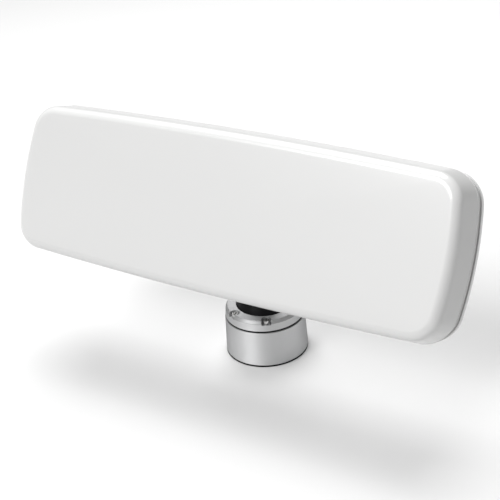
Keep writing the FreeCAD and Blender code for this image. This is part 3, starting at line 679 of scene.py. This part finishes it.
class POD_OT_rear_shell(bpy.types.Operator):
    """Rear shell: a groove beside the seam, a round edge, screw wells and the holes for arm and cable"""
    bl_idname = "pod.rear_shell"
    bl_label = "Rear shell"

    def execute(self, context):
        sizes = context.scene.pod_sizes
        outside, rim, inside = shell_rows(sizes.half_gap, sizes.groove_depth, sizes.rear_depth,
                                          sizes.rear_draft, sizes.rear_round, sizes.wall, 0.0, 0.0005)
        edge = sizes.half_gap + sizes.groove_width
        slope = sizes.rear_draft / sizes.rear_depth
        lip = 0.0012
        side = [(i, d, s) for i, d, s in outside if d > edge + lip]
        side += [(slope * edge + lip * (1 - math.cos(t)), edge + lip * (1 - math.sin(t)), 1.0)
                 for t in np.linspace(0, math.pi / 2, 5)]
        groove = [(sizes.groove_depth, edge, 1.0), (sizes.groove_depth, edge - 0.001, 1.0)]
        rows = side + groove + rim + inside
        rows = [(inset, -depth, scale) for inset, depth, scale in rows]
        matrix = pod_matrix(sizes) @ np.diag([1.0, 1.0, -1.0, 1.0])
        back, places = sizes.rear_depth, boss_places(sizes)
        floor = back - sizes.well_depth
        past, through, boss_end, shank_radius = back + 0.002, back - 0.006, back - 0.0012, 0.00225
        bosses = [peg(sizes.boss_radius, sizes.half_gap, boss_end, place, 0.0, matrix) for place in places]
        wells = [peg(sizes.well_radius, floor, back, place, 0.0006, matrix) for place in places]
        wells += [peg(sizes.bolt_hole, through, past, place, 0.0, matrix, 32)
                  for place in on_circle(sizes.pad_pitch, 4, math.pi / 4)]
        wells.append(peg(sizes.cable_hole, through, past, (0.0, 0.0), 0.0, matrix, 64))
        shanks = [peg(shank_radius, -0.001, floor + 0.001, place, 0.0, matrix, 32) for place in places]
        shell = add_skin("rear_shell", [(round_pod(rows, sizes), False)])
        shell = reshape(shell, [("UNION", bosses), ("DIFFERENCE", wells), ("DIFFERENCE", shanks)])
        dress(shell, "pod", ["rear_cover"], material("shell"))
        return {"FINISHED"}


class POD_OT_seam_seal(bpy.types.Operator):
    """Seam seal: a rubber band of round-edged section between the two rims"""
    bl_idname = "pod.seam_seal"
    bl_label = "Seam seal"

    def execute(self, context):
        sizes = context.scene.pod_sizes
        half, near = sizes.half_gap, sizes.seal_inset
        deep = near + 0.004
        section = rounded([(near, -half), (near, half), (deep, half), (deep, -half)], 0.0004, 4)
        rows = np.concatenate([section, np.ones((len(section), 1))], 1)
        seal = add_skin("seam_seal", [(round_pod(rows, sizes), True)])
        dress(seal, "pod", ["pod_seal"], material("rubber"))
        return {"FINISHED"}


# ---------------------------------------------------------------- screws

def screw_grid(head_r, head_t, shank_r, reach, flats, socket, teeth):
    """A socket head screw as one grid, seat at height 0.

    Each row is a circle, or a hexagon whose radius is the half flats over the cosine of the angle from the
    nearest flat's middle; the head's side carries fine teeth, a small cosine of the angle.
    """
    around = teeth * 4
    turn = np.arange(around) * 2 * math.pi / around
    hexagon = flats / 2 / np.cos((turn + math.pi / 6) % (math.pi / 3) - math.pi / 6)
    circle = np.ones(around)
    knurl = 1 + 0.012 * np.cos(turn * teeth)
    bevel = head_t * 0.1
    rows = [(circle * shank_r * 0.7, -reach), (circle * shank_r, -reach + shank_r * 0.3),
            (circle * shank_r, -0.0002), (circle * shank_r, 0.0), (circle * (head_r - bevel / 2), 0.0),
            (knurl * head_r * 0.985, bevel / 2), (knurl * head_r * 0.985, head_t - bevel * 1.6),
            (circle * head_r * 0.985, head_t - bevel), (circle * (head_r - bevel * 0.4), head_t - bevel * 0.35),
            (circle * (head_r - bevel), head_t), (hexagon * 1.08, head_t),
            (hexagon * 1.02, head_t - bevel * 0.2), (hexagon, head_t - bevel * 0.6),
            (hexagon, head_t - socket), (hexagon * 0.5, head_t - socket * 1.12)]
    radius = np.stack([row for row, height in rows])
    height = np.broadcast_to(np.array([height for row, height in rows])[:, None], radius.shape)
    return np.stack([radius * np.cos(turn), radius * np.sin(turn), height], -1)


def screw_skins(grid, places, matrix=None):
    """Copies of one screw at each (x, y, z, turn), in the row frame or another."""
    skins = []
    for x, y, z, spin in places:
        turn = np.array([[math.cos(spin), math.sin(spin), 0], [-math.sin(spin), math.cos(spin), 0], [0, 0, 1]])
        copy = grid @ turn + [x, y, z]
        if matrix is not None:
            copy = copy @ matrix[:3, :3].T + matrix[:3, 3]
        skins.append((copy, False))
    return skins


class POD_OT_clamp_screws(bpy.types.Operator):
    """Clamp screws: knurled socket heads in the collar's pockets"""
    bl_idname = "pod.clamp_screws"
    bl_label = "Clamp screws"

    def execute(self, context):
        base = context.scene.pod_base
        low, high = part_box("clamp_screws")
        reach = base.pocket_floor - low.z
        grid = screw_grid(0.00425, high.z - base.pocket_floor, 0.00245, reach, 0.004, 0.0026, 30)
        spots = on_circle(base.screw_pitch, base.screw_count, base.screw_turn)
        spins = np.array([0.2, 1.1, 0.5, 0.9, 0.0, 0.7])[np.arange(base.screw_count) % 6]
        places = [(x, y, base.pocket_floor, spin) for (x, y), spin in zip(spots, spins)]
        screws = add_skin("collar_screws", screw_skins(grid, places), math.radians(30))
        dress(screws, "base", ["clamp_screws"], material("steel"))
        return {"FINISHED"}


class POD_OT_back_screws(bpy.types.Operator):
    """Back screws: small socket heads at the bottom of the wells in the rear shell"""
    bl_idname = "pod.back_screws"
    bl_label = "Back screws"

    def execute(self, context):
        sizes = context.scene.pod_sizes
        seat = sizes.rear_depth - sizes.well_depth
        grid = screw_grid(0.0039, 0.0032, 0.00195, 0.032, 0.0025, 0.0016, 26)
        places = [(x, y, seat, 1.3 * k) for k, (x, y) in enumerate(boss_places(sizes))]
        matrix = pod_matrix(sizes) @ np.diag([1.0, 1.0, -1.0, 1.0])
        screws = add_skin("back_screws", screw_skins(grid, places, matrix), math.radians(30))
        dress(screws, "pod", ["cover_screws"], material("steel"))
        return {"FINISHED"}


# ---------------------------------------------------------------- arm and ball

def arm_path(sizes, arm, start_z, stations):
    """Places and directions on the arm's centre line, by distance from its foot.

    The line runs straight up the axis, round a circular bend in the YZ plane, and straight on, square to the
    pod's back, to the pod's centre line.
    """
    out = np.array([0, -math.cos(sizes.tilt), math.sin(sizes.tilt)])
    centre = np.array(SEAM_CENTRE)
    corner = centre - out * centre[1] / out[1]
    bend = math.acos(out[2])
    tangent = arm.bend * math.tan(bend / 2)
    rise = corner[2] - tangent - start_z
    turn = np.clip((stations - rise) / arm.bend, 0, bend)
    beyond = np.maximum(stations - rise - arm.bend * bend, 0)
    y = -arm.bend * (1 - np.cos(turn))
    z = start_z + np.minimum(stations, rise) + arm.bend * np.sin(turn)
    along = np.stack([np.zeros_like(turn), -np.sin(turn), np.cos(turn)], -1)
    return np.stack([np.zeros_like(y), y, z], -1) + along * beyond[:, None], along


def arm_length(sizes, arm, start_z, depth):
    """Length of the arm's centre line from its foot to a depth behind the seam plane."""
    out_y, out_z = -math.cos(sizes.tilt), math.sin(sizes.tilt)
    corner_back = SEAM_CENTRE.y / out_y
    corner_z = SEAM_CENTRE.z - out_z * corner_back
    bend = math.acos(out_z)
    tangent = arm.bend * math.tan(bend / 2)
    return corner_z - tangent - start_z + arm.bend * bend + corner_back - tangent - depth


def along_arm(profile, sizes, arm, start_z, around=96):
    """A (station, radius) profile carried along the arm's centre line."""
    middle, along = arm_path(sizes, arm, start_z, profile[:, 0])
    side = np.broadcast_to(np.array([1.0, 0.0, 0.0]), along.shape)
    up = np.cross(along, side)
    turn = (np.arange(around) * 2 * math.pi / around)[None, :, None]
    ring = side[:, None] * np.cos(turn) + up[:, None] * np.sin(turn)
    return middle[:, None] + ring * profile[:, None, 1:2]


class POD_OT_arm(bpy.types.Operator):
    """Arm: a hollow cast elbow with a foot on the ball and a round flange on the pod"""
    bl_idname = "pod.arm"
    bl_label = "Arm"

    def execute(self, context):
        sizes, arm = context.scene.pod_sizes, context.scene.pod_arm
        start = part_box("neck_seal")[1].z
        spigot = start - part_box("neck_arm")[0].z
        back = sizes.rear_depth + arm.pad_thickness
        end = arm_length(sizes, arm, start, back)
        flange = end - arm.flange_thickness
        corners = [(-spigot, 0.0129), (0.0, 0.0129), (0.0, arm.foot_radius), (arm.foot_height, arm.foot_radius),
                   (arm.foot_height + 0.0014, arm.radius), (flange, arm.radius), (flange, arm.flange_radius),
                   (end, arm.flange_radius), (end, arm.bore), (-spigot, arm.bore)]
        radii = [0.0005, 0.0, 0.0004, 0.0012, 0.0015, arm.web, 0.0016, 0.0004, 0.0008, 0.0006]
        profile = divided(rounded(corners, radii), 0.0035)
        piece = add_skin("arm_elbow", [(along_arm(profile, sizes, arm, start), True)])
        dress(piece, "pod", ["neck_arm"], material("black"))
        return {"FINISHED"}


class POD_OT_flange_pad(bpy.types.Operator):
    """Flange pad: the rubber ring between the arm's flange and the pod"""
    bl_idname = "pod.flange_pad"
    bl_label = "Flange pad"

    def execute(self, context):
        sizes, arm = context.scene.pod_sizes, context.scene.pod_arm
        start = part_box("neck_seal")[1].z
        end = arm_length(sizes, arm, start, sizes.rear_depth)
        near, edge = end - arm.pad_thickness, arm.flange_radius - 0.0003
        profile = rounded([(near, arm.bore), (near, edge), (end, edge), (end, arm.bore)], 0.0004, 4)
        piece = add_skin("flange_pad", [(along_arm(profile, sizes, arm, start), True)])
        dress(piece, "pod", ["flange_gasket"], material("rubber"))
        return {"FINISHED"}


class POD_OT_ball(bpy.types.Operator):
    """Ball: a hollow black ball, flat on top and open below"""
    bl_idname = "pod.ball"
    bl_label = "Ball"

    def execute(self, context):
        base = context.scene.pod_base
        middle = SWIVEL_CENTRE.z
        low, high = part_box("ball")
        top, foot = high.z - middle, low.z - middle
        outer, inner, seat = base.ball_radius, base.ball_radius - base.ball_wall, 0.027

        def arc(radius, start, end, steps):
            turn = np.linspace(math.asin(start / radius), math.asin(end / radius), steps)
            return np.stack([radius * np.cos(turn), middle + radius * np.sin(turn)], -1)

        bore = np.array([(0.0129, middle + top), (0.0129, middle + seat)])
        profile = np.concatenate([arc(outer, foot, top, 60), bore, arc(inner, seat, foot, 40)])
        piece = add_skin("tilt_ball", [(turned(profile), True)])
        dress(piece, "pod", ["ball"], material("black"))
        return {"FINISHED"}


# ---------------------------------------------------------------- base

def pocket_skin(base, spot_turn, top, flare=0.00025):
    """The skin of a U-shaped tool for one screw pocket, open outwards.

    Its plan is a half circle closed by two straight sides; each level is that plan moved along its outward
    normals, in at the floor for a rounded foot and out at the top for a rounded rim.
    """
    radius, reach = base.pocket_radius, base.deck_radius - base.pocket_pitch + 0.004
    turn = np.linspace(math.pi / 2, 3 * math.pi / 2, 25)
    bow = np.stack([np.cos(turn), np.sin(turn)], -1)
    normals = np.concatenate([bow, [(0, -1), (1, -1), (1, 1), (0, 1)]])
    plan = np.concatenate([bow * radius, [(reach / 2, -radius), (reach, -radius), (reach, radius),
                                          (reach / 2, radius)]])
    quarter = np.linspace(0, math.pi / 2, 6)
    floor = [(base.pocket_floor + flare * (1 - math.cos(q)), flare * (math.sin(q) - 1)) for q in quarter]
    rim = [(top - flare + flare * math.sin(q), flare * (1 - math.cos(q))) for q in quarter]
    levels = floor + rim + [(top + 0.002, flare)]
    flat = np.stack([plan + normals * grow for level, grow in levels])
    flat[..., 0] += base.pocket_pitch
    x = flat[..., 0] * math.cos(spot_turn) - flat[..., 1] * math.sin(spot_turn)
    y = flat[..., 0] * math.sin(spot_turn) + flat[..., 1] * math.cos(spot_turn)
    z = np.broadcast_to(np.array([level for level, grow in levels])[:, None], x.shape)
    return np.stack([x, y, z], -1), False


class POD_OT_collar(bpy.types.Operator):
    """Clamp collar: a chamfered ring with U-shaped screw pockets"""
    bl_idname = "pod.collar"
    bl_label = "Clamp collar"

    def execute(self, context):
        base = context.scene.pod_base
        low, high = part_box("clamp_ring")
        foot, top = low.z, high.z
        edge = np.array([base.collar_edge_radius, base.collar_edge_height])
        brim = np.array([base.collar_top_radius, top])
        along = (brim - edge) / np.linalg.norm(brim - edge)
        into, along = base.line_depth * np.array([-along[1], along[0]]), base.line_width * along
        wall = [(base.bore, foot), (base.collar_foot_radius, foot)]
        low_line = [edge, edge + into, edge + into + along, edge + along]
        high_line = [brim - along, brim - along + into, brim + into, (brim[0] + into[0], top)]
        mouth = [(base.mouth_radius, top), (base.lip_radius, base.lip_height), (base.bore, base.lip_height)]
        line_radii = [0.00015, 0.0001, 0.0001, 0.00015]
        profile = rounded(wall + low_line + high_line + mouth,
                          [0.0003, 0.0006, *line_radii, *line_radii, 0.0006, 0.0003, 0.0003])
        collar = add_skin("clamp_collar", [(turned(profile), True)])
        step = 2 * math.pi / base.screw_count
        pockets = [pocket_skin(base, base.screw_turn + k * step, top) for k in range(base.screw_count)]
        holes = [peg(0.00275, foot - 0.001, base.pocket_floor + 0.001, place)
                 for place in on_circle(base.screw_pitch, base.screw_count, base.screw_turn)]
        collar = reshape(collar, [("DIFFERENCE", pockets), ("DIFFERENCE", holes)])
        dress(collar, "base", ["clamp_ring"], material("metal"))
        return {"FINISHED"}


class POD_OT_housing(bpy.types.Operator):
    """Housing: a drafted turned cup with a floor, a ledge inside and four deck bolt holes"""
    bl_idname = "pod.housing"
    bl_label = "Housing"

    def execute(self, context):
        base = context.scene.pod_base
        low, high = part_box("base_housing")
        foot, top, floor = low.z, high.z, low.z + base.floor
        ledge_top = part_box("thrust_washer")[0].z
        corners = [(base.cable_hole, foot), (base.deck_radius, foot), (base.waist_radius, top),
                   (base.bore, top), (base.bore, ledge_top), (base.ledge, ledge_top),
                   (base.ledge, base.ledge_under), (base.cavity, base.shoulder), (base.cavity, floor),
                   (base.cable_hole, floor)]
        radii = [0.0004, 0.0008, 0.0012, 0.0004, 0.0, 0.0004, 0.0004, 0.002, 0.003, 0.0008]
        housing = add_skin("housing_cup", [(turned(rounded(corners, radii)), True)])
        holes = [peg(base.deck_hole, foot - 0.001, floor + 0.001, place)
                 for place in on_circle(base.deck_pitch, 4, math.pi / 4)]
        holes += [peg(0.0025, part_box("clamp_screws")[0].z - 0.0016, top + 0.001, place)
                  for place in on_circle(base.screw_pitch, base.screw_count, base.screw_turn)]
        housing = reshape(housing, [("DIFFERENCE", holes)])
        dress(housing, "base", ["base_housing"], material("metal"))
        return {"FINISHED"}


class POD_OT_base_seals(bpy.types.Operator):
    """Base seals: deck pad, collar gasket and the wiper round the ball"""
    bl_idname = "pod.base_seals"
    bl_label = "Base seals"

    def execute(self, context):
        base = context.scene.pod_base
        low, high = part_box("deck_gasket")
        pad = ring_piece("deck_pad", [(base.cable_hole, low.z), (base.deck_radius, low.z),
                                      (base.deck_radius, high.z), (base.cable_hole, high.z)], 0.0004)
        holes = [peg(base.deck_hole, low.z - 0.001, high.z + 0.001, place)
                 for place in on_circle(base.deck_pitch, 4, math.pi / 4)]
        pad = reshape(pad, [("DIFFERENCE", holes)])
        dress(pad, "base", ["deck_gasket"], material("rubber"))
        low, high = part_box("ring_gasket")
        seam = ring_piece("collar_gasket", [(base.bore, low.z), (base.seam_seal_radius, low.z),
                                            (base.seam_seal_radius, high.z), (base.bore, high.z)], 0.0004)
        dress(seam, "base", ["ring_gasket"], material("rubber"))
        low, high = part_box("wiper_seal")
        wiper = ring_piece("ball_wiper", [(0.0387, low.z), (base.bore, low.z), (base.bore, high.z),
                                          (0.0387, high.z)], [0.0004, 0.0001, 0.0001, 0.0004])
        dress(wiper, "base", ["wiper_seal"], material("rubber"))
        return {"FINISHED"}


class POD_OT_inner_parts(bpy.types.Operator):
    """Inner parts: finishes for the frame's own race, pins, nut, plate, screws, grommet and inserts"""
    bl_idname = "pod.inner_parts"
    bl_label = "Inner parts"
    finishes = {"thrust_washer": "acetal", "swivel_race": "acetal", "swivel_stop_pin": "steel",
                "trunnion_pins": "steel", "neck_seal": "rubber", "neck_lock_nut": "brass",
                "backing_plate": "plate", "flange_screws": "steel", "cable_grommet": "rubber",
                "screw_inserts": "brass"}

    def execute(self, context):
        for node, key in self.finishes.items():
            piece = frame["nodes"][node]
            piece.data.materials.clear()
            piece.data.materials.append(material(key))
        return {"FINISHED"}


# ---------------------------------------------------------------- stage

def soft_light(name, towards, strength, width):
    """A distant light that looks as wide as the given angle, from the given direction."""
    data = bpy.data.lights.new(name, "SUN")
    data.energy, data.angle = strength, width
    light = bpy.data.objects.new(name, data)
    light.rotation_euler = Vector(towards).to_track_quat("Z", "Y").to_euler()
    light.location = Vector(towards) * 2
    bpy.context.scene.collection.objects.link(light)


class POD_OT_stage(bpy.types.Operator):
    """Stage: a pale floor with painted shade far off, soft lights and the camera"""
    bl_idname = "pod.stage"
    bl_label = "Stage"

    def execute(self, context):
        stage = context.scene.pod_stage
        self.add_floor(stage)
        self.add_light(stage)
        self.add_camera(stage)
        return {"FINISHED"}

    def add_floor(self, stage):
        side = 6.0
        corners = [(-side, -side, 0), (side, -side, 0), (side, side, 0), (-side, side, 0)]
        mesh = bpy.data.meshes.new("floor")
        mesh.from_pydata(corners, [], [(0, 1, 2, 3)])
        floor = bpy.data.objects.new("floor", mesh)
        bpy.context.scene.collection.objects.link(floor)
        paint, nodes, links, shader = new_material("Pale floor", Roughness=0.9, Specular_IOR_Level=0.1)
        place = nodes.new("ShaderNodeTexCoord")
        reach = nodes.new("ShaderNodeVectorMath")
        reach.operation = "LENGTH"
        links.new(place.outputs["Object"], reach.inputs[0])
        # Painted shade: the floor's colour fades darker with distance from the pod.
        near = spread(nodes, links, reach.outputs["Value"], 1.0, stage.far_floor_shade, 1.3, 4.5)
        shade = nodes.new("ShaderNodeVectorMath")
        shade.operation = "SCALE"
        shade.inputs[0].default_value = stage.floor
        links.new(near, shade.inputs["Scale"])
        links.new(shade.outputs["Vector"], shader.inputs["Base Color"])
        mesh.materials.append(paint)

    def add_light(self, stage):
        world = bpy.data.worlds.new("Even light")
        world.use_nodes = True
        nodes, links = world.node_tree.nodes, world.node_tree.links
        place = nodes.new("ShaderNodeTexCoord")
        split = nodes.new("ShaderNodeSeparateXYZ")
        links.new(place.outputs["Generated"], split.inputs[0])
        strength = spread(nodes, links, split.outputs["Z"], stage.horizon, stage.sky, 0.0, 0.45)
        links.new(strength, nodes["Background"].inputs["Strength"])
        nodes["Background"].inputs["Color"].default_value = (1, 1, 1, 1)
        bpy.context.scene.world = world
        bpy.context.scene.view_settings.view_transform = "Standard"
        soft_light("Key light", (-0.20, -0.68, 0.70), stage.key, stage.key_width)
        soft_light("Top light", (-0.26, 0.32, 0.91), stage.top, stage.top_width)

    def add_camera(self, stage):
        """The camera stands off the base's foot, looks at it, is aimed off by two turns, then rolled."""
        azimuth, elevation = stage.azimuth, stage.elevation
        back = Vector((math.sin(azimuth) * math.cos(elevation), -math.cos(azimuth) * math.cos(elevation),
                       math.sin(elevation)))
        ahead = -back
        right = ahead.cross(Vector((0, 0, 1))).normalized()
        up = right.cross(ahead)
        turn = Quaternion(up, stage.turn)
        right, ahead = turn @ right, turn @ ahead
        lift = Quaternion(right, stage.raise_)
        up, ahead = lift @ up, lift @ ahead
        roll = Quaternion(ahead, stage.roll)
        right, up = roll @ right, roll @ up
        data = bpy.data.cameras.new("Camera")
        data.lens = stage.lens
        data.sensor_width = 36.0
        camera = bpy.data.objects.new("Camera", data)
        camera.matrix_world = Matrix.Translation(back * stage.distance) @ Matrix(
            (right, up, -ahead)).transposed().to_4x4()
        bpy.context.scene.collection.objects.link(camera)
        bpy.context.scene.camera = camera


GROUPS = {"pod_sizes": PodSizes, "pod_arm": ArmSizes, "pod_base": BaseSizes, "pod_finishes": Finishes,
          "pod_stage": StageSettings}
OPERATORS = [POD_OT_front_shell, POD_OT_rear_shell, POD_OT_seam_seal, POD_OT_back_screws, POD_OT_arm,
             POD_OT_flange_pad, POD_OT_ball, POD_OT_collar, POD_OT_housing, POD_OT_clamp_screws,
             POD_OT_base_seals, POD_OT_inner_parts, POD_OT_stage]


class POD_PT_panel(bpy.types.Panel):
    """The pod's pieces, one button each"""
    bl_idname = "POD_PT_panel"
    bl_label = "Instrument pod"
    bl_space_type = "VIEW_3D"
    bl_region_type = "UI"
    bl_category = "Pod"

    def draw(self, context):
        for operator in OPERATORS:
            self.layout.operator(operator.bl_idname)


def register():
    for group in GROUPS.values():
        bpy.utils.register_class(group)
    for name, group in GROUPS.items():
        setattr(bpy.types.Scene, name, PointerProperty(type=group))
    for item in [*OPERATORS, POD_PT_panel]:
        bpy.utils.register_class(item)


def unregister():
    for item in [POD_PT_panel, *reversed(OPERATORS)]:
        bpy.utils.unregister_class(item)
    for name in GROUPS:
        delattr(bpy.types.Scene, name)
    for group in GROUPS.values():
        bpy.utils.unregister_class(group)


def main():
    register()
    for operator in OPERATORS:
        family, name = operator.bl_idname.split(".")
        getattr(getattr(bpy.ops, family), name)()


if __name__ == "__main__":
    main()
